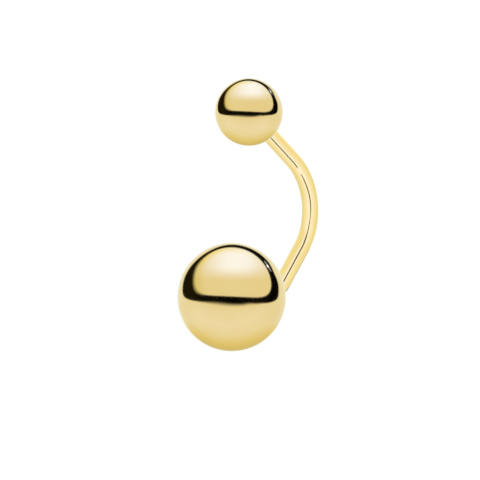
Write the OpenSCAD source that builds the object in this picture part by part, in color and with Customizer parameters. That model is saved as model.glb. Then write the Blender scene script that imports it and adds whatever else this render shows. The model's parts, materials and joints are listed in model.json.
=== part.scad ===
// Curved barbell navel ring: a bent bar with a small ball screwed on its upper end
// and a large ball screwed on its lower end.
// It lies on a level surface as it would by itself, on both balls and on the bar's curve.
// Origin: on that surface, under the middle of the ring's box.
// +X points to the side where the bar bulges, +Y to the small ball, +Z up.

/* [Bar] */
// Diameter of the bar
bar_d = 1.2; // [1:0.1:2]
// Radius of the bar's main curve, at its middle line
curve_r = 4.8; // [4:0.1:7]
// Turn of the main curve, in degrees
curve_turn = 88; // [60:1:110]
// Straight stretch from the main curve to the small ball
upper_straight = 3; // [1.5:0.1:5]
// Straight stretch from the main curve to the lower bend
lower_straight = 3.3; // [1.5:0.1:5]
// Radius of the bend that turns the lower end into the large ball
bend_r = 1.5; // [1.2:0.1:3]
// Turn of the lower bend, in degrees
bend_turn = 48; // [20:1:60]

/* [Balls] */
// Diameter of the small upper ball
top_ball_d = 5; // [4:0.1:6]
// Diameter of the large lower ball
lower_ball_d = 8; // [6.5:0.1:10]
// Depth of the seat in a ball's mouth that takes the bar's full thickness
seat_depth = 0.35; // [0.25:0.05:0.6]
// Clearance all round the bar in a seat
seat_clearance = 0.04; // [0.02:0.01:0.08]
// Gap between the bar's shoulder and the floor of a seat
shoulder_gap = 0.02; // [0.01:0.01:0.05]
// Width of the chamfer round a ball's mouth
mouth_chamfer = 0.1; // [0.05:0.05:0.2]

/* [Threads] */
// Height of the shoulder between the bar and its thread
shoulder = 0.05; // [0.03:0.01:0.1]
// Length of each threaded post, from the shoulder to its tip
post_len = 2.4; // [1.6:0.1:2.8]
// Distance from one turn of the thread to the next
thread_pitch = 0.25; // [0.2:0.05:0.35]
// Depth of the thread
thread_depth = 0.12; // [0.08:0.01:0.15]
// Length of the plain neck between the shoulder and the first turn
neck_len = 0.2; // [0.1:0.05:0.4]
// Bevel on the tip of a post
tip_bevel = 0.12; // [0.05:0.01:0.2]
// Clearance all round a post in its ball
thread_clearance = 0.05; // [0.02:0.01:0.1]
// Depth of the hole past the tip of the post
hole_spare = 0.25; // [0.1:0.05:0.4]
// Angle of the drill's point at the bottom of a hole, in degrees
drill_angle = 118; // [90:1:140]

/* [Hidden] */
$fn = 96;
gold = [0.9, 0.76, 0.45];

bar_r = bar_d / 2;
// The straight stretches are this much thicker than the bends, and lap over their ends
join_step = 0.005;
join_lap = 0.05;
straight_r = bar_r + join_step;
top_ball_r = top_ball_d / 2;
lower_ball_r = lower_ball_d / 2;
seat_r = straight_r + seat_clearance;
seated_len = seat_depth - shoulder_gap;
thread_r = bar_r - shoulder;
neck_r = thread_r - thread_depth;
hole_r = thread_r + thread_clearance;
turns = floor((post_len - neck_len - tip_bevel) / thread_pitch);
// Share of a turn that is flank, crest, flank, and then root
flank = 0.3;
crest = 0.2;

// The bar's middle line, in its own plane: x to the bulge, y to the small ball,
// with the middle of the main curve at the origin
half_turn = curve_turn / 2;
end_turn = half_turn + bend_turn;
// The line's direction after a turn to the upper side, and the same on the lower side
function heading(a) = [-sin(a), cos(a)];
function down(v) = [v.x, -v.y];
function on_curve(a) = curve_r * [cos(a) - 1, sin(a)];
bend_from = on_curve(-half_turn) + lower_straight * down(heading(half_turn));
bend_centre = bend_from - bend_r * [cos(half_turn), -sin(half_turn)];
function on_bend(a) = bend_centre + bend_r * [cos(a), -sin(a)];
top_ball_at = on_curve(half_turn) + (upper_straight + top_ball_r) * heading(half_turn);
lower_ball_at = on_bend(end_turn) + lower_ball_r * down(heading(end_turn));

// Points along that line, this many degrees apart, to find where it touches the surface
step = 0.5;
middle_line = concat(
    [for (a = [0 : step : bend_turn]) on_bend(end_turn - a)],
    [for (a = [-half_turn : step : half_turn]) on_curve(a)]
);

// How the ring lies: the line between the balls' middles slopes down to the small ball,
// and the bar tips down about that line until it touches the surface
between = top_ball_at - lower_ball_at;
between_len = norm(between);
between_angle = atan2(between.y, between.x);
slope = asin((lower_ball_r - top_ball_r) / between_len);
// A point's distances from the large ball's middle: sideways to the bulge, and along
function across(p) = (p - lower_ball_at) * [sin(between_angle), -cos(between_angle)];
function along(p) = (p - lower_ball_at) * [cos(between_angle), sin(between_angle)];
function height(p, tip) =
    lower_ball_r - along(p) * sin(slope) - across(p) * sin(tip) * cos(slope);
function lowest(tip) = min([for (p = middle_line) height(p, tip)]) - bar_r;
// Halves the span of angles that holds the answer, as many times as rounds says
function settle(low, high, rounds) =
    let (mid = (low + high) / 2)
    rounds == 0 ? mid
        : lowest(mid) > 0 ? settle(mid, high, rounds - 1) : settle(low, mid, rounds - 1);
settle_rounds = 40;
tip_angle = settle(0, 90, settle_rounds);

// The box of the lying ring, seen from above
reach_x = max([for (p = middle_line) across(p) * cos(tip_angle)]) + bar_r;
middle_x = (reach_x - lower_ball_r) / 2;
middle_y = (between_len * cos(slope) + top_ball_r - lower_ball_r) / 2;

// Puts what is drawn in the bar's plane in the place where the ring lies
module lying() {
    translate([-middle_x, -middle_y, lower_ball_r])
        rotate([-slope, 0, 0])
            rotate([0, tip_angle, 0])
                rotate([0, 0, 90 - between_angle])
                    translate([-lower_ball_at.x, -lower_ball_at.y, 0])
                        children();
}

// Points +Z of what it holds along a heading in the bar's plane, from a place in it
module pointed(at, angle) {
    translate([at.x, at.y, 0])
        rotate([0, 90, angle])
            children();
}

// A stretch of bent bar round a centre
module bent(centre, radius, from, turn) {
    translate([centre.x, centre.y, 0])
        rotate([0, 0, from])
            rotate_extrude(angle = turn)
                translate([radius, 0])
                    circle(r = bar_r);
}

// One side of a thread's turns: its low radius, its high radius and where it starts
function turns_of(root_r, crest_r, start) = [
    for (i = [0 : turns - 1], s = [[0, root_r], [flank, crest_r], [flank + crest, crest_r],
        [2 * flank + crest, root_r]])
        [s[1], start + (i + s[0]) * thread_pitch]
];

// A post along +Z from its shoulder, with a root that lies inside the bar
module post() {
    rotate_extrude()
        polygon(concat(
            [[0, -bar_r], [neck_r, -bar_r]],
            turns_of(neck_r, thread_r, neck_len),
            [[neck_r, post_len - tip_bevel], [neck_r - tip_bevel, post_len], [0, post_len]]
        ));
}

// A straight stretch along +Z from the end of a bend, with a post on its own end
module threaded_end(len) {
    translate([0, 0, -join_lap])
        cylinder(r = straight_r, h = join_lap + len);
    translate([0, 0, len])
        post();
}

// A ball with its blind hole, drawn from its middle with +Z away from the bar
module drilled_ball(ball_r) {
    seat_z = seat_depth - ball_r;
    bottom_z = seat_z - shoulder_gap + post_len + hole_spare;
    point_z = bottom_z + hole_r / tan(drill_angle / 2);
    mouth_z = -sqrt(pow(ball_r, 2) - pow(seat_r + mouth_chamfer, 2));
    difference() {
        sphere(r = ball_r);
        rotate_extrude()
            polygon(concat(
                [[0, -ball_r - mouth_chamfer], [seat_r + mouth_chamfer, -ball_r - mouth_chamfer],
                    [seat_r + mouth_chamfer, mouth_z], [seat_r, mouth_z + mouth_chamfer],
                    [seat_r, seat_z], [hole_r, seat_z]],
                turns_of(hole_r, hole_r + thread_depth, seat_z - shoulder_gap + neck_len),
                [[hole_r, bottom_z], [0, point_z]]
            ));
    }
}

module curved_bar() {
    color(gold)
        lying() {
            bent([-curve_r, 0], curve_r, -half_turn, curve_turn);
            bent(bend_centre, bend_r, -end_turn, bend_turn);
            pointed(on_curve(half_turn), 90 + half_turn)
                threaded_end(upper_straight + seated_len);
            pointed(on_curve(-half_turn), -90 - half_turn)
                translate([0, 0, -join_lap])
                    cylinder(r = straight_r, h = lower_straight + 2 * join_lap);
            pointed(on_bend(end_turn), -90 - end_turn)
                threaded_end(seated_len);
        }
}

module top_ball() {
    color(gold)
        lying()
            pointed(top_ball_at, 90 + half_turn)
                drilled_ball(top_ball_r);
}

module lower_ball() {
    color(gold)
        lying()
            pointed(lower_ball_at, -90 - end_turn)
                drilled_ball(lower_ball_r);
}

curved_bar();
top_ball();
lower_ball();
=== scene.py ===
"""A curved barbell navel ring in polished gold, lying on a pale floor under soft studio light.

The bar and the two balls are modelled in the places that the frame gives: the bar as one swept
form with a cut thread on each end, and each ball as a turned form with its drilled, threaded hole.
"""
import json
import math

import bmesh
import bpy
import numpy as np
from mathutils import Matrix, Vector


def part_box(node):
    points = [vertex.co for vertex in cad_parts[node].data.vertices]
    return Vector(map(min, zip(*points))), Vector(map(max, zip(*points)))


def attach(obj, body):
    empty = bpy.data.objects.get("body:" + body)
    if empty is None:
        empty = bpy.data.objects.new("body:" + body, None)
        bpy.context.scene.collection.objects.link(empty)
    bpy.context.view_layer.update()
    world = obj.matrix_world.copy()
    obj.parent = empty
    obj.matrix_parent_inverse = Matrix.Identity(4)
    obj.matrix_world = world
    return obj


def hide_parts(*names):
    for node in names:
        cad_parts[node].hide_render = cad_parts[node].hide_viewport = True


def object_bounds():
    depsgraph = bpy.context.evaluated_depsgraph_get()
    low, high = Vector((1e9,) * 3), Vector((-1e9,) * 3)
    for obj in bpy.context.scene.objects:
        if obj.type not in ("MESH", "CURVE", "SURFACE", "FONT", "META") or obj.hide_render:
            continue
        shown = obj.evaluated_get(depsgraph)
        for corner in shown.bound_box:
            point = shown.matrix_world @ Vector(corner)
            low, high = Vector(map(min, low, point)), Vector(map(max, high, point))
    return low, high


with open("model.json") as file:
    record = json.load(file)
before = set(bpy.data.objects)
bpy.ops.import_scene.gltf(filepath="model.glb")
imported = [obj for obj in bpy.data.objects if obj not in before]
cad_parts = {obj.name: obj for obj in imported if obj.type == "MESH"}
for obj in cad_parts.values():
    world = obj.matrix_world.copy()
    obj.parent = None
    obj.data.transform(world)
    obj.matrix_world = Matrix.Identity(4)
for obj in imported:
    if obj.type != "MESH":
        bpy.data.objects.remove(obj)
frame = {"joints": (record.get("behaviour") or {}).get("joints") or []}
CAD_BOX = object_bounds()

bl_info = {
    "name": "Navel ring",
    "version": (1, 0, 0),
    "blender": (4, 5, 0),
    "location": "3D View > Sidebar > Navel ring",
    "description": "Builds a curved barbell navel ring in polished gold, and its studio",
    "category": "Add Mesh",
}

MM = 0.001
# Less than any real size or share, against rounding
TINY = 1e-6
# The direction in which each ball comes off the bar
WAY_OFF = {joint["child"]: Vector(joint["axis"]).normalized() for joint in frame["joints"]}


def middle_of(node):
    """The middle of a node's box."""
    low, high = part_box(node)
    return (low + high) / 2


def width_of(node):
    """The widest side of a node's box."""
    low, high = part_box(node)
    return max(high - low)


def length_prop(name, description, default, least=0.0):
    """A size in metres."""
    return bpy.props.FloatProperty(
        name=name, description=description, default=default, min=least, precision=5, unit="LENGTH"
    )


def angle_prop(name, description, degrees):
    """An angle, given in degrees and kept in radians."""
    return bpy.props.FloatProperty(
        name=name, description=description, default=math.radians(degrees), subtype="ANGLE"
    )


def colour_prop(name, description, default):
    """A colour of three channels."""
    return bpy.props.FloatVectorProperty(
        name=name, description=description, default=default, size=3, min=0.0, max=4.0, subtype="COLOR"
    )


class NavelRingBar(bpy.types.PropertyGroup):
    """Sizes of the bar and of the thread on its ends."""

    thickness: length_prop("Thickness", "Diameter of the bar", 1.2 * MM)
    curve_r: length_prop("Curve radius", "Radius of the main curve, at the middle line", 4.8 * MM)
    curve_turn: angle_prop("Curve turn", "Turn of the main curve", 88)
    upper_straight: length_prop("Upper straight", "Stretch from the curve to the small ball", 3 * MM)
    lower_straight: length_prop("Lower straight", "Stretch from the curve to the lower bend", 3.3 * MM)
    bend_r: length_prop("Bend radius", "Radius of the bend at the lower end", 1.5 * MM)
    bend_turn: angle_prop("Bend turn", "Turn of the bend at the lower end", 48)
    edge_break: length_prop("Edge break", "Width of the small bevel on each shoulder", 0.03 * MM)
    shoulder: length_prop("Shoulder", "Height of the shoulder over the thread", 0.05 * MM)
    post_len: length_prop("Post length", "Length of a post from its shoulder to its tip", 2.4 * MM)
    pitch: length_prop("Pitch", "Distance from one turn of the thread to the next", 0.25 * MM)
    thread_depth: length_prop("Thread depth", "Depth of the thread", 0.12 * MM)
    neck_len: length_prop("Neck", "Plain neck between the shoulder and the thread", 0.2 * MM)
    tip_bevel: length_prop("Tip bevel", "Bevel on the tip of a post", 0.12 * MM)


class NavelRingBalls(bpy.types.PropertyGroup):
    """Sizes of the two balls and of the holes in them."""

    small_d: length_prop("Small ball", "Diameter of the upper ball", width_of("top_ball"))
    large_d: length_prop("Large ball", "Diameter of the lower ball", width_of("lower_ball"))
    seat_depth: length_prop("Seat depth", "Depth of the seat that takes the bar", 0.35 * MM)
    seat_clearance: length_prop("Seat clearance", "Clearance round the bar in its seat", 0.04 * MM)
    shoulder_gap: length_prop("Shoulder gap", "Gap between the shoulder and the seat's floor", 0.02 * MM)
    chamfer: length_prop("Chamfer", "Width of the chamfer round the mouth", 0.1 * MM)
    clearance: length_prop("Thread clearance", "Clearance round a post in its hole", 0.05 * MM)
    hole_spare: length_prop("Spare depth", "Depth of the hole past the tip of the post", 0.25 * MM)
    drill_angle: angle_prop("Drill angle", "Angle of the point at the bottom of the hole", 118)


class NavelRingGold(bpy.types.PropertyGroup):
    """Colours and finish of the gold."""

    tone: colour_prop("Gold", "Colour of the plating", (0.88, 0.72, 0.38))
    deep_tone: colour_prop("Deep gold", "Colour where the plating is thickest", (0.86, 0.68, 0.33))
    core_tone: colour_prop("Steel", "Colour of the steel where the plating is rubbed", (0.55, 0.52, 0.48))
    # Bore: bare steel in a hole, darkened well below the steel's own tone as painted shade for the dark
    # of the hole
    bore_shade_tone: colour_prop("Bore", "Colour of the bare steel deep in a hole", (0.16, 0.15, 0.14))
    roughness: bpy.props.FloatProperty(
        name="Roughness", description="Roughness of the polish", default=0.07, min=0.0, max=1.0,
        subtype="FACTOR",
    )
    hairlines: bpy.props.FloatProperty(
        name="Hairlines", description="Strength of the fine lines left by polishing", default=0.5,
        min=0.0, max=2.0, subtype="FACTOR",
    )


class NavelRingStage(bpy.types.PropertyGroup):
    """Floor, light and camera."""

    floor_tone: colour_prop("Floor", "Colour of the floor", (0.8, 0.8, 0.8))
    floor_glow: bpy.props.FloatProperty(
        name="Floor glow", description="Light that the floor gives off by itself",
        default=0.9, min=0.0,
    )
    soft_box_light: bpy.props.FloatProperty(
        name="Soft box light", description="Light that the soft box adds to the floor",
        default=0.2, min=0.0,
    )
    soft_box_size: length_prop("Soft box size", "Side of the soft box over the floor", 0.5)
    soft_box_height: length_prop("Soft box height", "Height of the soft box over the floor", 0.4)
    floor_size: length_prop("Floor size", "Side of the square floor", 4.0)
    panel_reach: length_prop("Panel distance", "Distance of the light panels from the ring", 1.5)
    azimuth: angle_prop("Azimuth", "Where the camera stands round the ring", -89.55)
    elevation: angle_prop("Elevation", "How high the camera stands over the floor", 69.35)
    roll: angle_prop("Roll", "Turn of the camera about its own line of sight", 97.12)
    lens: bpy.props.FloatProperty(
        name="Lens", description="Focal length of the camera in millimetres", default=1500.0, min=1.0
    )
    view_width: length_prop("View width", "Width of what the camera sees at the ring", 35.424 * MM)
    view_left: length_prop("View left", "How far the view's middle is left of the ring's", 1.658 * MM)
    view_down: length_prop("View down", "How far the view's middle is below the ring's", 1.636 * MM)


class Wiring:
    """Adds nodes to a tree and joins them, so that a formula stays short."""

    def __init__(self, tree):
        self.tree = tree

    def add(self, kind, **settings):
        """A new node with its settings."""
        node = self.tree.nodes.new(kind)
        for name, value in settings.items():
            setattr(node, name, value)
        return node

    def feed(self, value, socket):
        """Joins an output to a socket, or sets the socket's own value; a colour gets its alpha here."""
        if isinstance(value, bpy.types.NodeSocket):
            self.tree.links.new(value, socket)
        elif socket.type == "RGBA":
            socket.default_value = (*value, 1)
        else:
            socket.default_value = value

    def math(self, operation, *values):
        """A number from one, two or three numbers."""
        node = self.add("ShaderNodeMath", operation=operation)
        for value, socket in zip(values, node.inputs):
            self.feed(value, socket)
        return node.outputs[0]

    def vector(self, operation, *values, out=0):
        """A vector, or another output, from one or two vectors."""
        node = self.add("ShaderNodeVectorMath", operation=operation)
        for value, socket in zip(values, node.inputs):
            self.feed(value, socket)
        return node.outputs[out]

    def dot(self, a, b):
        """How far one vector goes along another."""
        return self.vector("DOT_PRODUCT", a, b, out="Value")

    def length(self, x, y):
        """The length of a line that goes x to the side and y up."""
        square = self.math("MULTIPLY_ADD", x, x, self.math("MULTIPLY", y, y))
        return self.math("SQRT", square)

    def distance(self, x, y, place):
        """How far the point x, y is from a place."""
        return self.length(self.math("SUBTRACT", x, place[0]), self.math("SUBTRACT", y, place[1]))

    def slanted(self, x, y, way):
        """How far the point x, y lies along a slanted way."""
        return self.math("MULTIPLY_ADD", x, way[0], self.math("MULTIPLY", y, way[1]))

    def off(self, value, middle):
        """How far a value is from a middle one, to either side."""
        return self.math("ABSOLUTE", self.math("SUBTRACT", value, middle))

    def series(self, value, *terms):
        """terms[0] + terms[1] * value + terms[2] * value**2, and so on."""
        found = terms[-1]
        for term in reversed(terms[:-1]):
            found = self.math("MULTIPLY_ADD", value, found, term)
        return found

    def rise(self, value, start, end, low=0.0, high=1.0):
        """Goes smoothly from low, where value is at start, to high, where it is at end."""
        node = self.add("ShaderNodeMapRange", interpolation_type="SMOOTHSTEP")
        for given, name in ((value, "Value"), (start, "From Min"), (end, "From Max"),
                            (low, "To Min"), (high, "To Max")):
            self.feed(given, node.inputs[name])
        return node.outputs["Result"]

    def hump(self, away, reach, height):
        """A smooth hump, of its full height where away is 0 and of none from its reach on."""
        return self.rise(away, reach, 0.0, 0.0, height)

    def inside(self, form, soft):
        """1 inside a form, where its value is below 0, and 0 outside, with an edge of some softness."""
        return self.rise(form, soft, self.math("MULTIPLY", soft, -1.0))

    def blend(self, share, first, second):
        """A colour between two colours."""
        node = self.add("ShaderNodeMix", data_type="RGBA")
        self.feed(share, node.inputs["Factor"])
        self.feed(first, node.inputs["A"])
        self.feed(second, node.inputs["B"])
        return node.outputs["Result"]

    def scale(self, colour, value):
        """A colour times a number."""
        node = self.add("ShaderNodeVectorMath", operation="SCALE")
        self.feed(colour, node.inputs[0])
        self.feed(value, node.inputs["Scale"])
        return node.outputs[0]

    def colour_ramp(self, value, stops):
        """A colour that goes through the stops, each a place from 0 to 1 and a colour."""
        node = self.add("ShaderNodeValToRGB")
        elements = node.color_ramp.elements
        while len(elements) < len(stops):
            elements.new(0.5)
        for element, (place, colour) in zip(elements, stops):
            element.position = place
            element.color = (*colour, 1)
        self.feed(value, node.inputs["Fac"])
        return node.outputs["Color"]

    def noise(self, place, scale, detail=2.0, roughness=0.5):
        """Soft random patches, from 0 to 1."""
        node = self.add("ShaderNodeTexNoise")
        self.feed(place, node.inputs["Vector"])
        self.feed(scale, node.inputs["Scale"])
        node.inputs["Detail"].default_value = detail
        node.inputs["Roughness"].default_value = roughness
        return node.outputs["Fac"]


def new_group(name, inputs, outputs):
    """A shader node group with named sockets, and the wiring, the inputs and the output node in it."""
    tree = bpy.data.node_groups.new(name, "ShaderNodeTree")
    for label, kind, default in inputs:
        socket = tree.interface.new_socket(name=label, in_out="INPUT", socket_type=kind)
        socket.default_value = default
    for label, kind in outputs:
        tree.interface.new_socket(name=label, in_out="OUTPUT", socket_type=kind)
    wiring = Wiring(tree)
    entry = wiring.add("NodeGroupInput") if inputs else None
    exit_node = wiring.add("NodeGroupOutput")
    return tree, wiring, entry, exit_node


def place_group(wiring, group, values):
    """Puts a node group in a tree with its own values, and returns the node."""
    node = wiring.add("ShaderNodeGroup", node_tree=group)
    for name, value in values.items():
        wiring.feed(value, node.inputs[name])
    return node


# The surface of the gold

FLOAT, VECTOR, COLOUR = "NodeSocketFloat", "NodeSocketVector", "NodeSocketColor"
WHITE = (1.0, 1.0, 1.0)
# Where the noise counts as a hairline, and how much coarser the patches that hold hairlines are
LINE_FROM, LINE_TO = 0.56, 0.66
PATCH_SCALE, PATCH_FROM, PATCH_TO = 0.04, 0.75, 0.8
# What clouds, hairlines, rubbing and a bare hole add to the roughness
CLOUD_ROUGH, LINE_ROUGH, RUBBED_ROUGH, BORE_ROUGH = 0.02, 0.05, 0.12, 0.25
LINE_STRENGTH, LINE_DEPTH = 0.05, 0.002 * MM
# How much of the steel a rubbed place shows between its hairlines
RUBBED_SHARE = 0.55
# The first lay of hairlines, and the second, which crosses it
LINE_SHARE, CROSS_SHARE = 0.4, 0.3
CROSS_STRETCH, CROSS_SCALE = (1, 0.35, 1.3), 0.6
# Which part of the noise makes the plating's soft patches, and how deep their tone goes
CLOUD_FADE, CLOUD_DEPTH = (0.3, 0.7), 0.6
# How the lines are drawn out along each piece, how dense they are, and how dense the patches are
BAR_STRETCH, BAR_LINES, BAR_PATCHES = (1, 1, 0.08), 9.0, 0.5
BALL_STRETCH, BALL_LINES, SMALL_BALL_PATCHES, LARGE_BALL_PATCHES = (1, 1, 0.6), 7.0, 0.45, 0.3


def hairline_group():
    """Fine lines left by the polishing wheel: a height, and a mask of where they are."""
    if "Hairlines" in bpy.data.node_groups:
        return bpy.data.node_groups["Hairlines"]
    group, w, entry, out = new_group(
        "Hairlines",
        [("Place", VECTOR, (0, 0, 0)), ("Stretch", VECTOR, (1, 1, 1)), ("Lines", FLOAT, 60.0),
         ("Share", FLOAT, 0.3)],
        [("Height", FLOAT), ("Mask", FLOAT)],
    )
    drawn = w.vector("MULTIPLY", entry.outputs["Place"], entry.outputs["Stretch"])
    fine = w.noise(drawn, entry.outputs["Lines"], detail=3.0, roughness=0.6)
    patches = w.noise(entry.outputs["Place"], w.math("MULTIPLY", entry.outputs["Lines"], PATCH_SCALE))
    keep = w.rise(patches, w.math("SUBTRACT", PATCH_FROM, entry.outputs["Share"]), PATCH_TO)
    line = w.rise(fine, LINE_FROM, LINE_TO)
    mask = w.math("MULTIPLY", line, keep)
    w.feed(w.math("MULTIPLY", mask, -1.0), out.inputs["Height"])
    w.feed(mask, out.inputs["Mask"])
    return group


def plating_group():
    """The plating's tone, a little deeper in soft patches, and how cloudy its polish is there."""
    if "Plating" in bpy.data.node_groups:
        return bpy.data.node_groups["Plating"]
    group, w, entry, out = new_group(
        "Plating",
        [("Place", VECTOR, (0, 0, 0)), ("Tone", COLOUR, (*WHITE, 1)), ("Deep Tone", COLOUR, (*WHITE, 1)),
         ("Patches", FLOAT, 1.0), ("Depth", FLOAT, 0.5)],
        [("Color", COLOUR), ("Cloud", FLOAT)],
    )
    soft = w.noise(entry.outputs["Place"], entry.outputs["Patches"], detail=3.0)
    cloud = w.rise(soft, *CLOUD_FADE)
    share = w.math("MULTIPLY", cloud, entry.outputs["Depth"])
    w.feed(w.blend(share, entry.outputs["Tone"], entry.outputs["Deep Tone"]), out.inputs["Color"])
    w.feed(cloud, out.inputs["Cloud"])
    return group


def gold_material(name, gold, stretch, lines, patches):
    """Polished gold plating with its own lay of hairlines, rubbed to the steel where parts turn."""
    material = bpy.data.materials.new(name)
    material.use_nodes = True
    w = Wiring(material.node_tree)
    shader = material.node_tree.nodes["Principled BSDF"]
    lathe = w.add("ShaderNodeAttribute", attribute_name="lathe").outputs["Vector"]
    rubbed = w.add("ShaderNodeAttribute", attribute_name="rubbed").outputs["Fac"]
    # The bore mask marks bare steel in a hole and paints shade there, darker deeper in
    bore_and_shade = w.add("ShaderNodeAttribute", attribute_name="bore_and_shade").outputs["Fac"]

    plating = place_group(w, plating_group(), {
        "Place": lathe, "Tone": gold.tone, "Deep Tone": gold.deep_tone,
        "Patches": patches, "Depth": CLOUD_DEPTH,
    })
    hair = place_group(w, hairline_group(), {
        "Place": lathe, "Stretch": stretch, "Lines": lines, "Share": LINE_SHARE,
    })
    cross = place_group(w, hairline_group(), {
        "Place": w.vector("MULTIPLY", lathe, (1, -1, 1)), "Stretch": CROSS_STRETCH,
        "Lines": lines * CROSS_SCALE, "Share": CROSS_SHARE,
    })
    wear = w.math("MULTIPLY", rubbed, w.rise(hair.outputs["Mask"], 0.0, 1.0, RUBBED_SHARE, 1.0))
    worn = w.blend(wear, plating.outputs["Color"], gold.core_tone)
    # Deep in a hole the colour is painted shade over bare steel
    w.feed(w.blend(bore_and_shade, worn, gold.bore_shade_tone), shader.inputs["Base Color"])

    marks = w.math("ADD", hair.outputs["Mask"], cross.outputs["Mask"])
    rough = w.math("MULTIPLY_ADD", plating.outputs["Cloud"], CLOUD_ROUGH, gold.roughness)
    rough = w.math("MULTIPLY_ADD", marks, LINE_ROUGH * gold.hairlines, rough)
    rough = w.math("MULTIPLY_ADD", rubbed, RUBBED_ROUGH, rough)
    w.feed(w.math("MULTIPLY_ADD", bore_and_shade, BORE_ROUGH, rough), shader.inputs["Roughness"])
    bump = w.add("ShaderNodeBump")
    bump.inputs["Strength"].default_value = LINE_STRENGTH * gold.hairlines
    bump.inputs["Distance"].default_value = LINE_DEPTH
    heights = w.math("ADD", hair.outputs["Height"], cross.outputs["Height"])
    w.feed(heights, bump.inputs["Height"])
    w.feed(bump.outputs["Normal"], shader.inputs["Normal"])
    shader.inputs["Metallic"].default_value = 1.0
    return material


# The forms

# Points round the bar and round a ball, and rows for each turn of a post's thread
AROUND_BAR, AROUND_BALL = 96, 128
TURN_ROWS = 16
# Rows along the bar's stretches, from the small ball to the large one
UPPER_ROWS, CURVE_ROWS, LOWER_ROWS, BEND_ROWS, SEAT_ROWS = 30, 88, 24, 46, 6
# Rows on the drill's point, and from the mouth to the far end of a ball
POINT_ROWS, BALL_ROWS = 4, 112
# Shares of a turn that are flank and crest, and that the thread takes to run out
FLANK, CREST, RUN_OUT = 0.3, 0.2, 0.5
# The hollow between a shoulder and its neck, and how far its middle row lies from the corner
FILLET, FILLET_MIDDLE = 0.04 * MM, 0.3
# How fast a flank gets rubbed towards the crest
RUB_GAIN, RUB_LOSS = 1.6, 0.75
# How much bare steel and painted shade a hole shows at its rim, and how deep in it they are full
BORE_SHADE_RIM, BORE_SHADE_FADE = 0.45, 1.0 * MM


def thread_form(angle, z, start, end, pitch):
    """How far out the thread stands, from 0 to 1, at an angle and a height; it runs out at both ends."""
    turn = (z - start) / pitch - angle / (2 * math.pi)
    part = turn - np.floor(turn)
    up = np.clip(part / FLANK, 0, 1)
    down = np.clip((part - FLANK - CREST) / FLANK, 0, 1)
    ends = np.clip(np.minimum(z - start, end - z) / (RUN_OUT * pitch), 0, 1)
    return (up - down) * ends


def thread_len(bar):
    """The length of the whole turns that fit between a post's neck and its bevelled tip."""
    room = bar.post_len - bar.neck_len - bar.tip_bevel
    return math.floor(room / bar.pitch + TINY) * bar.pitch


def grid_piece(name, rows, lathe, sharp_rows, rubbed, bore_and_shade):
    """A closed form from rows of points round it, with a point at each end.

    lathe holds the same points on the straight, upright form, for the finish to follow, and
    rubbed and bore say how worn each point is and how deep in a hole, where the finish paints bare steel
    darkened as shade.
    The gold mirrors the light panels alone, so the piece doesn't show in other pieces."""
    count, around = len(rows) - 2, rows[1].shape[0]
    points = np.concatenate([rows[0].reshape(1, 3), *rows[1:-1], rows[-1].reshape(1, 3)])
    flat = np.concatenate([lathe[0].reshape(1, 3), *lathe[1:-1], lathe[-1].reshape(1, 3)])
    last = len(points) - 1
    end_row = 1 + (count - 1) * around
    faces = []
    for k in range(around):
        n = (k + 1) % around
        faces.append((0, 1 + k, 1 + n))
        faces.append((last, end_row + n, end_row + k))
    for i in range(count - 1):
        a, b = 1 + i * around, 1 + (i + 1) * around
        faces.extend((a + k, b + k, b + (k + 1) % around, a + (k + 1) % around) for k in range(around))
    mesh = bpy.data.meshes.new(name)
    mesh.from_pydata([tuple(p) for p in points], [], faces)
    shape = bmesh.new()
    shape.from_mesh(mesh)
    bmesh.ops.recalc_face_normals(shape, faces=shape.faces)
    shape.verts.ensure_lookup_table()
    sharp = {1 + i * around for i in sharp_rows}
    for edge in shape.edges:
        low, high = sorted(v.index for v in edge.verts)
        start = low - (low - 1) % around
        if start in sharp and high < start + around and low > 0:
            edge.smooth = False
    for face in shape.faces:
        face.smooth = True
    shape.to_mesh(mesh)
    shape.free()
    place = mesh.attributes.new("lathe", "FLOAT_VECTOR", "POINT")
    place.data.foreach_set("vector", (flat / MM).astype(np.float32).ravel())
    for label, values in (("rubbed", rubbed), ("bore_and_shade", bore_and_shade)):
        held = mesh.attributes.new(label, "FLOAT", "POINT")
        held.data.foreach_set("value", values.astype(np.float32))
    piece = bpy.data.objects.new(name, mesh)
    bpy.context.scene.collection.objects.link(piece)
    piece.visible_glossy = False
    piece.visible_diffuse = False
    return piece


def bar_plane(bar):
    """The way to the bar's bulge, and the normal of the plane that the bar bends in."""
    half = bar.curve_turn / 2
    end = half + bar.bend_turn
    upper, lower = WAY_OFF["small_ball"], WAY_OFF["large_ball"]
    whole = math.sin(half + end)
    bulge = -(upper * math.cos(end) + lower * math.cos(half)) / whole
    along = (upper * math.sin(end) - lower * math.sin(half)) / whole
    return bulge, bulge.cross(along)


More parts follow.
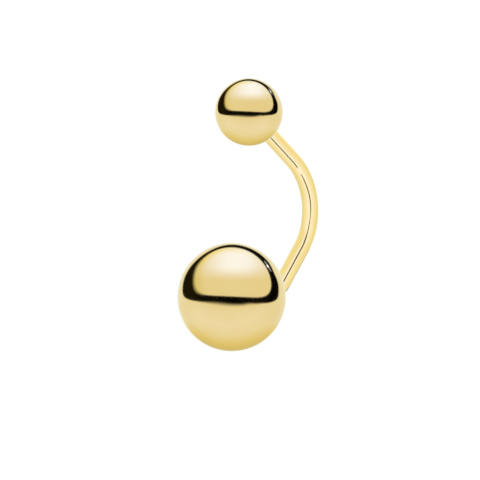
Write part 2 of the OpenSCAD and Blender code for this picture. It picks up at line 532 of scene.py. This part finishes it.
def bar_stations(bar, balls):
    """The bar plane's normal, and places along the bar from its upper shoulder to its lower one.

    Each place has its point, its direction and its distance from the upper shoulder."""
    bulge, normal = bar_plane(bar)
    seated = balls.seat_depth - balls.shoulder_gap
    here = middle_of("top_ball") - (balls.small_d / 2 - seated) * WAY_OFF["small_ball"]
    heading = -WAY_OFF["small_ball"]
    gone = 0.0
    found = [(here.copy(), heading.copy(), gone)]
    # The bar turns away from its bulge all the way
    side = -1 if normal.cross(heading).dot(bulge) > 0 else 1

    def straight(length, steps):
        nonlocal here, gone
        for _ in range(steps):
            here = here + heading * (length / steps)
            gone += length / steps
            found.append((here.copy(), heading.copy(), gone))

    def turn(radius, angle, steps):
        nonlocal here, heading, gone
        centre = here + radius * normal.cross(heading) * side
        for _ in range(steps):
            spin = Matrix.Rotation(side * angle / steps, 3, normal)
            here = centre + spin @ (here - centre)
            heading = spin @ heading
            gone += radius * angle / steps
            found.append((here.copy(), heading.copy(), gone))

    straight(bar.edge_break, 1)
    straight(bar.upper_straight + seated - bar.edge_break, UPPER_ROWS)
    turn(bar.curve_r, bar.curve_turn, CURVE_ROWS)
    straight(bar.lower_straight, LOWER_ROWS)
    turn(bar.bend_r, bar.bend_turn, BEND_ROWS)
    straight(seated - bar.edge_break, SEAT_ROWS)
    straight(bar.edge_break, 1)
    return normal, found


def ring_of(centre, out, angle, side, normal):
    """Points round a centre, out from it by a distance that may change with the angle."""
    across = np.cos(angle)[:, None] * np.array(side) + np.sin(angle)[:, None] * np.array(normal)
    return np.array(centre) + out[:, None] * across


def lathe_ring(out, angle, z):
    """The same points on the straight, upright form."""
    return np.stack([out * np.cos(angle), out * np.sin(angle), np.full(len(angle), z)], 1)


def post_rows(bar, shoulder_at, way, side, normal, lathe_at, lathe_way):
    """Rows of a threaded post from its shoulder to its tip, and the tip, on the bar and on the lathe."""
    neck_r = bar.thickness / 2 - bar.shoulder - bar.thread_depth
    end = bar.neck_len + thread_len(bar)
    heights = [0.0, FILLET * FILLET_MIDDLE, FILLET]
    radii = [neck_r + FILLET, neck_r + FILLET * FILLET_MIDDLE, neck_r]
    steps = round(thread_len(bar) / bar.pitch * TURN_ROWS)
    for i in range(steps + 1):
        heights.append(bar.neck_len + (end - bar.neck_len) * i / steps)
        radii.append(neck_r)
    heights += [bar.post_len - bar.tip_bevel, bar.post_len]
    radii += [neck_r, neck_r - bar.tip_bevel]
    angle = np.arange(AROUND_BAR) * 2 * math.pi / AROUND_BAR
    # Seen from its tip, each thread goes round the same way, right-handed
    from_tip = angle if side.cross(normal).dot(way) > 0 else math.pi - angle
    rows, lathe, rubbed = [], [], []
    for z, r in zip(heights, radii):
        form = thread_form(from_tip, z, bar.neck_len, end, bar.pitch)
        out = r + bar.thread_depth * form
        rows.append(ring_of(shoulder_at + way * z, out, angle, side, normal))
        lathe.append(lathe_ring(out, angle, lathe_at + lathe_way * z))
        rubbed.append(np.clip(form * RUB_GAIN - RUB_LOSS, 0, 1))
    lathe_tip = np.array([0, 0, lathe_at + lathe_way * bar.post_len])
    return rows, lathe, rubbed, (np.array(shoulder_at + way * bar.post_len), lathe_tip)


def build_bar(bar, balls, gold):
    """The bent bar with a threaded post on each end."""
    normal, stations = bar_stations(bar, balls)
    angle = np.arange(AROUND_BAR) * 2 * math.pi / AROUND_BAR
    total = stations[-1][2]
    rows, lathe = [], []
    for at, heading, gone in stations:
        # Both shoulders have a broken edge
        near_end = min(gone, total - gone)
        out = np.full(AROUND_BAR, bar.thickness / 2 - max(0.0, bar.edge_break - near_end))
        rows.append(ring_of(at, out, angle, (-heading).cross(normal), normal))
        lathe.append(lathe_ring(out, angle, -gone))

    ends = []
    for (at, heading, gone), body, lathe_way in (
        (stations[0], "small_ball", 1), (stations[-1], "large_ball", -1),
    ):
        side = (-heading).cross(normal)
        ends.append(post_rows(bar, at, WAY_OFF[body], side, normal, -gone, lathe_way))
    (upper, upper_lathe, upper_rubbed, tip), (lower, lower_lathe, lower_rubbed, end) = ends
    plain = [np.zeros(AROUND_BAR) for _ in rows]
    all_rows = [tip[0], *reversed(upper), *rows, *lower, end[0]]
    all_lathe = [tip[1], *reversed(upper_lathe), *lathe, *lower_lathe, end[1]]
    rubbed = np.concatenate([[0], *reversed(upper_rubbed), *plain, *lower_rubbed, [0]])
    upper_shoulder, lower_shoulder = len(upper), len(upper) + len(rows) - 1
    sharp = {0, upper_shoulder - 1, upper_shoulder, lower_shoulder, lower_shoulder + 1, len(all_rows) - 3}
    piece = grid_piece("bent_bar", all_rows, all_lathe, sharp, rubbed, np.zeros(len(rubbed)))
    finish = gold_material("Gold of the bar", gold, BAR_STRETCH, BAR_LINES, BAR_PATCHES)
    piece.data.materials.append(finish)
    return piece


def build_ball(name, node, body, diameter, bar, balls, gold, patches):
    """A ball with its seat, its threaded hole and the drill's point at the bottom of it."""
    r = diameter / 2
    way = WAY_OFF[body]
    seat_r = bar.thickness / 2 + balls.seat_clearance
    hole_r = bar.thickness / 2 - bar.shoulder + balls.clearance
    mouth_r = seat_r + balls.chamfer
    seat_z = balls.seat_depth - r
    first_turn = seat_z - balls.shoulder_gap + bar.neck_len
    last_turn = first_turn + thread_len(bar)
    bottom_z = seat_z - balls.shoulder_gap + bar.post_len + balls.hole_spare
    point_z = bottom_z + hole_r / math.tan(balls.drill_angle / 2)
    mouth_z = -math.sqrt(r**2 - mouth_r**2)
    angle = np.arange(AROUND_BALL) * 2 * math.pi / AROUND_BALL

    # From the drill's point out through the hole and the seat, and round the ball to its far end
    profile = [(hole_r * k / POINT_ROWS, point_z + (bottom_z - point_z) * k / POINT_ROWS)
               for k in range(1, POINT_ROWS + 1)]
    steps = round(thread_len(bar) / bar.pitch * TURN_ROWS / 2)
    profile += [(hole_r, last_turn + (first_turn - last_turn) * i / steps) for i in range(steps + 1)]
    profile.append((hole_r, seat_z))
    hole_rows = len(profile)
    profile += [(seat_r, seat_z), (seat_r, mouth_z + balls.chamfer), (mouth_r, mouth_z)]
    sharp = {POINT_ROWS - 1, *range(hole_rows - 1, len(profile))}
    start = math.asin(mouth_r / r)
    for i in range(1, BALL_ROWS):
        polar = start + (math.pi - start) * i / BALL_ROWS
        profile.append((r * math.sin(polar), -r * math.cos(polar)))

    lathe, bore_and_shade = [np.array([0, 0, point_z])], [1.0]
    for i, (radius, z) in enumerate(profile):
        # Only the hole has a thread and is bare steel, with painted shade that darkens it deeper in
        in_hole = i < hole_rows
        depth = bar.thread_depth if in_hole else 0.0
        out = radius + depth * thread_form(angle, z, first_turn, last_turn, bar.pitch)
        lathe.append(lathe_ring(out, angle, z))
        bore_and_shade += [min(1.0, BORE_SHADE_RIM + (z - seat_z) / BORE_SHADE_FADE) if in_hole else 0.0] * AROUND_BALL
    lathe.append(np.array([0, 0, r]))
    bore_and_shade.append(0.0)

    basis = np.array(Vector((0, 0, 1)).rotation_difference(way).to_matrix()).T
    centre = np.array(middle_of(node))
    rows = [centre + flat @ basis for flat in lathe]
    piece = grid_piece(name, rows, lathe, sharp, np.zeros(len(bore_and_shade)), np.array(bore_and_shade))
    label = f"Gold of the {name.replace('_', ' ')}"
    piece.data.materials.append(gold_material(label, gold, BALL_STRETCH, BALL_LINES, patches))
    return piece


# The studio

# Places in the light are in ball radii, x to the right and y up, as a mirror ball shows them.
# A name that ends in FADE holds where a change starts and where it ends.

# The soft card: a circle, cut by two upright sides and a slanted foot, with rounded corners
CARD_MIDDLE, CARD_R = (-0.009, 0.174), 0.743
CARD_SIDES_MIDDLE, CARD_SIDES_REACH = 0.045, 0.753
CARD_FOOT, CARD_FOOT_SLOPE = 0.015, -0.047
CARD_SIDE_ROUND, CARD_FOOT_ROUND = 0.14, 0.376
# Its edge is softer at the left
CARD_SOFTNESS, CARD_SOFT_FADE = (0.012, 0.04), (-0.4, -0.7)

# The dark round it: an oval on a curved foot, with rounded corners
DARK_MIDDLE, DARK_R, DARK_NARROWED = (-0.02, 0.127), 0.846, 0.953
DARK_FOOT, DARK_FOOT_BEND = -0.147, 0.137
DARK_FOOT_ROUND, DARK_FOOT_FADE = (0.16, 0.13), (-0.4, 0.4)
# Its foot steps down a little at the right: a place along it, a reach and a height
FOOT_STEPS = ((0.33, 0.16, 0.012), (0.69, 0.2, -0.012))
# And it falls a little to the right, on the large ball
FOOT_TILT = -0.016
# Two places where its outline is pushed in: a place, a reach and a depth
OUTLINE_DENTS = (((-0.28, 0.416), 0.669, 0.12), ((0.78, 0.45), 0.25, 0.016))
# Its edge is sharp, and softer in the middle of its foot
DARK_SHARP, DARK_SOFTER = 0.01, 0.035
SOFTER_Y_FADE, SOFTER_X_FADE = (0.05, -0.05), (0.75, 0.15)
BLACK, DEEP_BROWN, BROWN_FADE = (0.001, 0.0005, 0.0), (0.012, 0.009, 0.003), (-0.5, -0.75)

# The card glows high in its middle, is warm at its left edge and has a warm rim above
CARD_LOW, CARD_HIGH, CARD_EDGE = (0.908, 0.867, 0.70), (1.13, 1.315, 2.2), (0.84, 0.78, 0.44)
GLOW_LOW_FADE, GLOW_HIGH_FADE = (0.28, 0.6), (1.1, 0.76)
GLOW_MIDDLE, GLOW_SIDE_FADE = 0.08, (0.88, 0.05)
EDGE_FADE = (-0.45, -0.66)
CARD_RIM, RIM_FORM_FADE, RIM_Y_FADE = (1.0, 0.9, 0.42), (-0.12, -0.01), (0.42, 0.68)
RIM_X_FADE, RIM_LEAST = (0.35, -0.4), 0.25

# The small lamp in the dark: its place and the way of its streak, then the streak and its middle
LAMP_X, LAMP_Y, STREAK_WAY = 0.667, 0.572, (-0.53, 0.848)
STREAK_ACROSS_FADE, STREAK_ALONG_FADE, STREAK_DIM = (0.012, 0.003), (0.13, 0.09), 0.3
LAMP_ACROSS_FADE, LAMP_ALONG_FADE, LAMP_COLOUR = (0.017, 0.004), (0.045, 0.018), (1.5, 1.8, 3.2)

# The pale table: its tones from the ball's middle down to its rim, and what is beside it and above
TABLE_STRETCH = 1.1
TABLE_TOP, TABLE_SIDE = (0.98, 0.973, 0.99), (0.92, 0.91, 0.80)
TABLE_STOPS = (
    (0.14, CARD_LOW), (0.35, (0.949, 0.944, 0.913)), (0.52, TABLE_TOP), (0.70, (0.944, 0.924, 0.826)),
    (0.77, (0.912, 0.871, 0.671)), (0.84, (0.881, 0.806, 0.468)), (0.91, (0.823, 0.715, 0.342)),
    (0.98, (0.69, 0.63, 0.32)),
)
SIDE_MIDDLE, SIDE_X_FADE, SIDE_Y_FADE = -0.05, (0.5, 0.88), (-0.58, -0.38)
BEHIND_WHITE, BESIDE_WARM, WARM_REACH = (0.93, 0.945, 0.87), (0.95, 0.91, 0.70), 0.025
WHITE_Y_FADE, WHITE_FACE_FADE = (-0.22, 0.02), (0.2, 0.1)

# How the small ball sees the same light: a little to the left and up, with its lamp elsewhere
SMALL_BALL_LIGHT = {"Left": 0.016, "Up": 0.006, "Tilt": 0.012, "Lamp X": 0.648, "Lamp Y": 0.609}

# The slit in the bar's tent: its middle line, half its width, which grows at both ends, and a waist
SLIT_LINE = (0.07, -0.154, -0.771, 3.444, 12.186)
SLIT_LOW_FADE, SLIT_LOW, SLIT_MIDDLE = (-0.38, -0.46), 0.135, 0.056
SLIT_HIGH_FADE, SLIT_HIGH = (0.24, 0.37), 0.12
WAIST, WAIST_REACH, WAIST_DEPTH = 0.1, 0.14, 0.02
SLIT_EDGE_FADE, SLIT_FACE_FADE, SLIT_COLOUR = (0.011, -0.012), (0.62, 0.72), (0.02, 0.012, 0.0)
# A lamp covers the slit where the bar starts to bend
GAP_WAY, GAP_START_FADE, GAP_END_FADE = (-0.57, 0.82), (-0.478, -0.45), (-0.36, -0.385)

# The tent: its tones away from a shallow curve, where it is brightest
TENT_LINE = (-0.004, -0.171, 1.371, 1.111)
TENT_STOPS = (
    (0.0, (1.13, 1.22, 1.62)), (0.25, (1.13, 1.21, 1.48)), (0.4, (1.10, 1.12, 1.18)),
    (0.55, (1.09, 1.08, 1.0)), (0.68, (1.06, 1.03, 0.83)), (0.78, (1.0, 0.97, 0.70)),
    (0.9, (0.94, 0.91, 0.58)), (1.0, (0.92, 0.93, 0.75)),
)
# Its upper left corner, a warm edge along the slit and a small bright spot
CORNER_TONE, CORNER_Y_FADE, CORNER_X_FADE = (1.02, 1.0, 0.74), (0.28, 0.37), (0.1, -0.4)
SLIT_WARMTH, WARMTH_FADE = (1.12, 1.01, 0.6), (0.07, 0.0)
SPOT_PLACE, SPOT_FADE, SPOT_COLOUR = (0.14, -0.415), (0.09, 0.03), (1.2, 1.3, 2.1)
# The tent's hem is dim, and shows on the outer edge of the lower straight
HEM_COLOUR, HEM_Y_FADE = (0.62, 0.66, 0.55), (-0.24, -0.31)
HEM_START_FADE, HEM_END_FADE = (0.75, 0.85), (0.915, 0.895)

# The floor's grain, and the share of its colour that the darkest grain keeps
GRAIN_SCALE, GRAIN_FADE, GRAIN_LEAST = 900.0, (0.2, 0.8), 0.985
FLOOR_ROUGHNESS = 0.9
CAMERA_NEAR, CAMERA_FAR = 0.01, 100.0


def camera_axes(stage):
    """The camera's right, its up and the way back to it from the ring."""
    a, e = stage.azimuth, stage.elevation
    toward = Vector((math.sin(a) * math.cos(e), -math.cos(a) * math.cos(e), math.sin(e)))
    level = Vector((0, 0, 1)).cross(toward).normalized()
    turned = Matrix.Rotation(stage.roll, 3, toward)
    right = turned @ level
    return right, toward.cross(right), toward


def mirror_group(stage):
    """Where a panel's point shows in a mirror ball that the camera looks at, in ball radii."""
    if "Place in a mirror ball" in bpy.data.node_groups:
        return bpy.data.node_groups["Place in a mirror ball"]
    group, w, _, out = new_group(
        "Place in a mirror ball", [], [("X", FLOAT), ("Y", FLOAT), ("Face", FLOAT)],
    )
    right, up, toward = camera_axes(stage)
    way = w.vector("NORMALIZE", w.add("ShaderNodeNewGeometry").outputs["Position"])
    ahead = w.dot(way, toward)
    # A ball mirrors that way where it faces way + toward, and spread is the length of that sum
    spread = w.math("SQRT", w.math("MAXIMUM", w.math("MULTIPLY_ADD", ahead, 2.0, 2.0), TINY))
    w.feed(w.math("DIVIDE", w.dot(way, right), spread), out.inputs["X"])
    w.feed(w.math("DIVIDE", w.dot(way, up), spread), out.inputs["Y"])
    w.feed(w.math("MULTIPLY", spread, 0.5), out.inputs["Face"])
    return group


def card_form(w, x, y):
    """The card's form, which is below 0 inside it and 0 at its edge."""
    card = w.math("SUBTRACT", w.distance(x, y, CARD_MIDDLE), CARD_R)
    sides = w.math("SUBTRACT", w.off(x, CARD_SIDES_MIDDLE), CARD_SIDES_REACH)
    foot = w.math("SUBTRACT", w.math("MULTIPLY_ADD", x, CARD_FOOT_SLOPE, CARD_FOOT), y)
    return w.math("SMOOTH_MAX", w.math("SMOOTH_MAX", card, sides, CARD_SIDE_ROUND), foot, CARD_FOOT_ROUND)


def dark_form(w, x, y, tilt):
    """The form of the dark round the card, also below 0 inside it; tilt slants its foot."""
    from_middle = w.math("SUBTRACT", x, DARK_MIDDLE[0]), w.math("SUBTRACT", y, DARK_MIDDLE[1])
    narrowed = w.math("MULTIPLY", from_middle[0], DARK_NARROWED)
    oval = w.math("SUBTRACT", w.length(narrowed, from_middle[1]), DARK_R)
    foot = w.math("MULTIPLY_ADD", w.math("MULTIPLY", x, x), DARK_FOOT_BEND, DARK_FOOT)
    steps = [w.hump(w.off(x, middle), reach, height) for middle, reach, height in FOOT_STEPS]
    foot = w.math("ADD", foot, w.math("ADD", *steps))
    foot = w.math("SUBTRACT", w.math("MULTIPLY_ADD", x, tilt, foot), y)
    dark = w.math("SMOOTH_MAX", oval, foot, w.rise(x, *DARK_FOOT_FADE, *DARK_FOOT_ROUND))
    for place, reach, depth in OUTLINE_DENTS:
        dark = w.math("ADD", dark, w.hump(w.distance(x, y, place), reach, depth))
    return dark


def card_colours(w, x, y, card):
    """The card's colours: a glow high in its middle, a warm left edge and a warm rim above."""
    high = w.math("MULTIPLY", w.rise(y, *GLOW_LOW_FADE), w.rise(y, *GLOW_HIGH_FADE))
    glow = w.math("MULTIPLY", high, w.rise(w.off(x, GLOW_MIDDLE), *GLOW_SIDE_FADE))
    colour = w.blend(w.rise(x, *EDGE_FADE), CARD_LOW, CARD_EDGE)
    colour = w.blend(glow, colour, CARD_HIGH)
    rim = w.math("MULTIPLY", w.rise(card, *RIM_FORM_FADE), w.rise(y, *RIM_Y_FADE))
    rim = w.math("MULTIPLY", rim, w.rise(x, *RIM_X_FADE, RIM_LEAST, 1.0))
    return w.vector("MULTIPLY", colour, w.blend(rim, WHITE, CARD_RIM))


def lamp_streak(w, x, y):
    """A fine streak with a bright middle, at a place x, y from the small lamp."""
    along = w.math("ABSOLUTE", w.slanted(x, y, STREAK_WAY))
    across = w.math("ABSOLUTE", w.slanted(x, y, (STREAK_WAY[1], -STREAK_WAY[0])))
    dim = w.rise(along, *STREAK_ALONG_FADE, 0.0, STREAK_DIM)
    streak = w.math("MULTIPLY", w.rise(across, *STREAK_ACROSS_FADE), dim)
    middle = w.math("MULTIPLY", w.rise(across, *LAMP_ACROSS_FADE), w.rise(along, *LAMP_ALONG_FADE))
    return w.math("MAXIMUM", streak, middle)


def table_colours(w, x, y):
    """The table's colours, in curved bands down to the ball's lower rim."""
    low = w.math("MAXIMUM", w.math("MULTIPLY", y, -1.0), 0.0)
    spread = w.math("MULTIPLY_ADD", w.math("MULTIPLY", x, x), TABLE_STRETCH, low)
    table = w.colour_ramp(w.math("SQRT", w.math("MULTIPLY", low, spread)), TABLE_STOPS)
    side = w.math("MULTIPLY", w.rise(w.off(x, SIDE_MIDDLE), *SIDE_X_FADE), w.rise(y, *SIDE_Y_FADE))
    return w.blend(side, table, TABLE_SIDE)


def ball_light_group(stage):
    """Light round the balls: a soft card overhead, a pale table below, white behind, dark between.

    Left and Up move all of it, Tilt slants the dark's foot, and Lamp X and Lamp Y place the lamp."""
    if "Light round the balls" in bpy.data.node_groups:
        return bpy.data.node_groups["Light round the balls"]
    group, w, entry, out = new_group(
        "Light round the balls",
        [("Left", FLOAT, 0.0), ("Up", FLOAT, 0.0), ("Tilt", FLOAT, FOOT_TILT), ("Lamp X", FLOAT, LAMP_X),
         ("Lamp Y", FLOAT, LAMP_Y)],
        [("Color", COLOUR)],
    )
    place = place_group(w, mirror_group(stage), {})
    x = w.math("ADD", place.outputs["X"], entry.outputs["Left"])
    y = w.math("SUBTRACT", place.outputs["Y"], entry.outputs["Up"])

    card = card_form(w, x, y)
    in_card = w.inside(card, w.rise(x, *CARD_SOFT_FADE, *CARD_SOFTNESS))
    dark = dark_form(w, x, y, entry.outputs["Tilt"])
    softer = w.math("MULTIPLY", w.rise(y, *SOFTER_Y_FADE), w.rise(w.math("ABSOLUTE", x), *SOFTER_X_FADE))
    dark_soft = w.math("MULTIPLY_ADD", softer, DARK_SOFTER, DARK_SHARP)
    in_dark = w.inside(dark, dark_soft)

    lit = w.blend(w.rise(x, *BROWN_FADE), BLACK, DEEP_BROWN)
    lit = w.blend(in_card, lit, card_colours(w, x, y, card))
    lamp_x = w.math("SUBTRACT", x, entry.outputs["Lamp X"])
    lamp_y = w.math("SUBTRACT", y, entry.outputs["Lamp Y"])
    lit = w.blend(lamp_streak(w, lamp_x, lamp_y), lit, LAMP_COLOUR)

    around = w.blend(w.rise(y, *WHITE_Y_FADE), table_colours(w, x, y), BEHIND_WHITE)
    around = w.blend(w.rise(place.outputs["Face"], *WHITE_FACE_FADE), around, BEHIND_WHITE)
    beside_dark = w.rise(dark, w.math("ADD", dark_soft, WARM_REACH), 0.0)
    around = w.blend(beside_dark, around, BESIDE_WARM)
    w.feed(w.blend(in_dark, around, lit), out.inputs["Color"])
    return group


def tent_colours(w, x, y, edge):
    """The tent's colours; edge is the distance from the slit."""
    tent = w.colour_ramp(w.off(x, w.series(y, *TENT_LINE)), TENT_STOPS)
    corner = w.math("MULTIPLY", w.rise(y, *CORNER_Y_FADE), w.rise(x, *CORNER_X_FADE))
    tent = w.blend(corner, tent, CORNER_TONE)
    warm = w.rise(edge, *WARMTH_FADE)
    tent = w.vector("MULTIPLY", tent, w.blend(warm, WHITE, SLIT_WARMTH))
    tent = w.blend(w.rise(w.distance(x, y, SPOT_PLACE), *SPOT_FADE), tent, SPOT_COLOUR)
    hem = w.math("MULTIPLY", w.rise(x, *HEM_START_FADE), w.rise(x, *HEM_END_FADE))
    hem = w.math("MULTIPLY", hem, w.rise(y, *HEM_Y_FADE))
    return w.blend(hem, tent, HEM_COLOUR)


def bar_light_group(stage):
    """Light round the bar: a pale tent, brightest beside the slit that the camera looks through."""
    group, w, _, out = new_group("Light round the bar", [], [("Color", COLOUR)])
    place = place_group(w, mirror_group(stage), {})
    x, y, face = (place.outputs[name] for name in ("X", "Y", "Face"))
    # The slit runs down the tent, and its two ends bend to one side
    low_end = w.rise(y, *SLIT_LOW_FADE, SLIT_MIDDLE, SLIT_LOW)
    half_width = w.math("ADD", low_end, w.rise(y, *SLIT_HIGH_FADE, 0.0, SLIT_HIGH))
    half_width = w.math("SUBTRACT", half_width, w.hump(w.off(y, WAIST), WAIST_REACH, WAIST_DEPTH))
    edge = w.math("SUBTRACT", w.off(x, w.series(y, *SLIT_LINE)), half_width)
    slit = w.math("MULTIPLY", w.rise(edge, *SLIT_EDGE_FADE), w.rise(face, *SLIT_FACE_FADE))
    along = w.slanted(x, y, GAP_WAY)
    gap = w.math("MULTIPLY", w.rise(along, *GAP_START_FADE), w.rise(along, *GAP_END_FADE))
    slit = w.math("MULTIPLY", slit, w.math("SUBTRACT", 1.0, gap))
    w.feed(w.blend(slit, tent_colours(w, x, y, edge), SLIT_COLOUR), out.inputs["Color"])
    return group


def panel_box(piece_name, reach, group, values):
    """Six light panels round the ring, which only one piece takes light from."""
    name = f"{piece_name} panel"
    listed = bpy.data.collections.new(f"{name} receivers")
    listed.objects.link(bpy.data.objects[piece_name])
    for axis in range(3):
        for sign in (-1, 1):
            panel = bpy.data.lights.new(name, "AREA")
            panel.shape = "SQUARE"
            panel.size = 2 * reach
            panel.energy = math.pi * panel.size**2
            panel.use_nodes = True
            w = Wiring(panel.node_tree)
            node = place_group(w, group, values)
            w.feed(node.outputs["Color"], panel.node_tree.nodes["Emission"].inputs["Color"])
            lamp = bpy.data.objects.new(name, panel)
            lamp.location[axis] = sign * reach
            lamp.rotation_euler = lamp.location.to_track_quat("Z", "Y").to_euler()
            bpy.context.scene.collection.objects.link(lamp)
            lamp.light_linking.receiver_collection = listed
            lamp.visible_camera = False
            lamp.visible_diffuse = False


def build_floor(stage):
    """A plain pale floor that glows a little, like a light table."""
    half = stage.floor_size / 2
    corners = [(-half, -half, 0), (half, -half, 0), (half, half, 0), (-half, half, 0)]
    mesh = bpy.data.meshes.new("floor")
    mesh.from_pydata(corners, [], [(0, 1, 2, 3)])
    floor = bpy.data.objects.new("floor", mesh)
    bpy.context.scene.collection.objects.link(floor)
    material = bpy.data.materials.new("Pale floor")
    material.use_nodes = True
    w = Wiring(material.node_tree)
    shader = material.node_tree.nodes["Principled BSDF"]
    place = w.add("ShaderNodeNewGeometry").outputs["Position"]
    grain = w.rise(w.noise(place, GRAIN_SCALE, detail=4.0), *GRAIN_FADE, GRAIN_LEAST, 1.0)
    w.feed(w.scale(stage.floor_tone, grain), shader.inputs["Base Color"])
    shader.inputs["Roughness"].default_value = FLOOR_ROUGHNESS
    shader.inputs["Specular IOR Level"].default_value = 0.0
    w.feed(WHITE, shader.inputs["Emission Color"])
    shader.inputs["Emission Strength"].default_value = stage.floor_glow
    mesh.materials.append(material)
    # The gold mirrors the panels and not the floor
    floor.visible_glossy = False
    floor.visible_shadow = False
    return floor


def build_soft_box(stage, floor):
    """A soft box overhead, which draws the ring's soft shadow on the floor."""
    box = bpy.data.lights.new("soft box", "AREA")
    box.size = stage.soft_box_size
    box.energy = 4 * math.pi * stage.soft_box_height**2 * stage.soft_box_light
    lamp = bpy.data.objects.new("soft box", box)
    lamp.location.z = stage.soft_box_height
    bpy.context.scene.collection.objects.link(lamp)
    listed = bpy.data.collections.new("soft box receivers")
    listed.objects.link(floor)
    lamp.light_linking.receiver_collection = listed
    lamp.visible_camera = False


def build_world():
    """White behind everything, and no light from it."""
    world = bpy.data.worlds.new("Studio")
    bpy.context.scene.world = world
    world.use_nodes = True
    w = Wiring(world.node_tree)
    background = world.node_tree.nodes["Background"]
    w.feed(w.add("ShaderNodeLightPath").outputs["Is Camera Ray"], background.inputs["Strength"])
    w.feed(WHITE, background.inputs["Color"])


def build_camera(stage, middle):
    """A long lens at the photograph's angle."""
    right, up, toward = camera_axes(stage)
    lens = bpy.data.cameras.new("camera")
    lens.lens = stage.lens
    away = stage.view_width * stage.lens / lens.sensor_width
    camera = bpy.data.objects.new("camera", lens)
    bpy.context.scene.collection.objects.link(camera)
    aim = middle - stage.view_left * right - stage.view_down * up
    facing = Matrix((right, up, toward)).transposed().to_4x4()
    camera.matrix_world = Matrix.Translation(aim + away * toward) @ facing
    lens.clip_start = CAMERA_NEAR
    lens.clip_end = CAMERA_FAR
    bpy.context.scene.camera = camera


class NAVELRING_OT_bar(bpy.types.Operator):
    """Build the bent bar with its threaded ends"""

    bl_idname = "navel_ring.bar"
    bl_label = "Bent bar"
    bl_options = {"REGISTER", "UNDO"}

    def execute(self, context):
        scene = context.scene
        piece = build_bar(scene.navel_ring_bar, scene.navel_ring_balls, scene.navel_ring_gold)
        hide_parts("curved_bar")
        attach(piece, "bar")
        return {"FINISHED"}


class NAVELRING_OT_balls(bpy.types.Operator):
    """Build the small and the large ball"""

    bl_idname = "navel_ring.balls"
    bl_label = "Balls"
    bl_options = {"REGISTER", "UNDO"}

    def execute(self, context):
        scene = context.scene
        bar, balls, gold = scene.navel_ring_bar, scene.navel_ring_balls, scene.navel_ring_gold
        for name, node, body, diameter, patches in (
            ("small_ball", "top_ball", "small_ball", balls.small_d, SMALL_BALL_PATCHES),
            ("large_ball", "lower_ball", "large_ball", balls.large_d, LARGE_BALL_PATCHES),
        ):
            piece = build_ball(name, node, body, diameter, bar, balls, gold, patches)
            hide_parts(node)
            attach(piece, body)
        return {"FINISHED"}


class NAVELRING_OT_stage(bpy.types.Operator):
    """Build the floor, the light panels, the world and the camera"""

    bl_idname = "navel_ring.stage"
    bl_label = "Stage"
    bl_options = {"REGISTER", "UNDO"}

    def execute(self, context):
        scene = context.scene
        stage = scene.navel_ring_stage
        build_soft_box(stage, build_floor(stage))
        build_world()
        panel_box("large_ball", stage.panel_reach, ball_light_group(stage), {})
        panel_box("small_ball", stage.panel_reach, ball_light_group(stage), SMALL_BALL_LIGHT)
        panel_box("bent_bar", stage.panel_reach, bar_light_group(stage), {})
        build_camera(stage, (Vector(CAD_BOX[0]) + Vector(CAD_BOX[1])) / 2)
        scene.view_settings.view_transform = "Standard"
        return {"FINISHED"}


class NAVELRING_PT_panel(bpy.types.Panel):
    """Lists the steps that build the ring"""

    bl_idname = "NAVELRING_PT_panel"
    bl_label = "Navel ring"
    bl_space_type = "VIEW_3D"
    bl_region_type = "UI"
    bl_category = "Navel ring"

    def draw(self, context):
        layout = self.layout
        for operator in (NAVELRING_OT_bar, NAVELRING_OT_balls, NAVELRING_OT_stage):
            layout.operator(operator.bl_idname)


GROUPS = {
    "navel_ring_bar": NavelRingBar,
    "navel_ring_balls": NavelRingBalls,
    "navel_ring_gold": NavelRingGold,
    "navel_ring_stage": NavelRingStage,
}
CLASSES = (*GROUPS.values(), NAVELRING_OT_bar, NAVELRING_OT_balls, NAVELRING_OT_stage, NAVELRING_PT_panel)


def register():
    for kind in CLASSES:
        bpy.utils.register_class(kind)
    for name, group in GROUPS.items():
        setattr(bpy.types.Scene, name, bpy.props.PointerProperty(type=group))


def unregister():
    for name in GROUPS:
        delattr(bpy.types.Scene, name)
    for kind in reversed(CLASSES):
        bpy.utils.unregister_class(kind)


def main():
    register()
    bpy.ops.navel_ring.bar()
    bpy.ops.navel_ring.balls()
    bpy.ops.navel_ring.stage()


if __name__ == "__main__":
    main()
